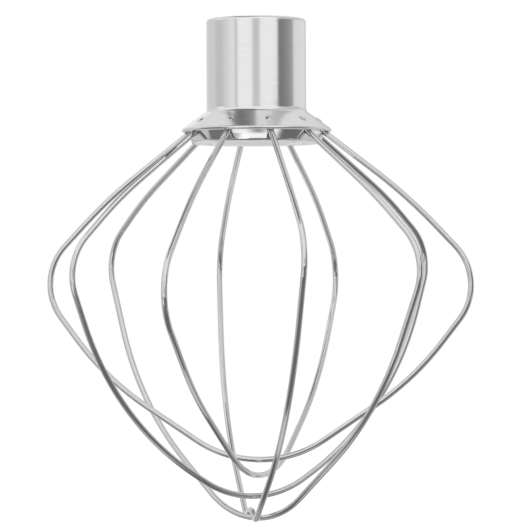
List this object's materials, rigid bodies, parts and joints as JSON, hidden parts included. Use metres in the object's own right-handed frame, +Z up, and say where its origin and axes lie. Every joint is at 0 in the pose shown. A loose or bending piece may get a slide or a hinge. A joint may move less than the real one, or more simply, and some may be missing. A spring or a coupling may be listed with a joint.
{
  "type": "stand mixer wire whisk",
  "caption": "Wire whisk for a stand mixer: sprung steel wire loops hooked into the cone of a drawn hub with a socket for the mixer's shaft.",
  "frame": {"origin": "mouth of the shaft bore, at the middle of the hub's flat top", "axes": "+Z up out of the bore along its axis, with the wires below; +X through the pin slot and one leg of the first wire"},
  "size_m": [0.1373, 0.1313, 0.16],
  "materials": {
    "hub_steel": "satin drawn sheet",
    "socket_steel": "turned",
    "dish_steel": "polished pressing",
    "wire_steel": "bright drawn wire"
  },
  "bodies": {
    "root": {"hub_sleeve": "hub_steel", "shaft_socket": "socket_steel", "closing_dish": "dish_steel", "whisk_wire_1": "wire_steel", "whisk_wire_2": "wire_steel", "whisk_wire_3": "wire_steel", "whisk_wire_4": "wire_steel", "whisk_wire_5": "wire_steel"}
  },
  "joints": []
}
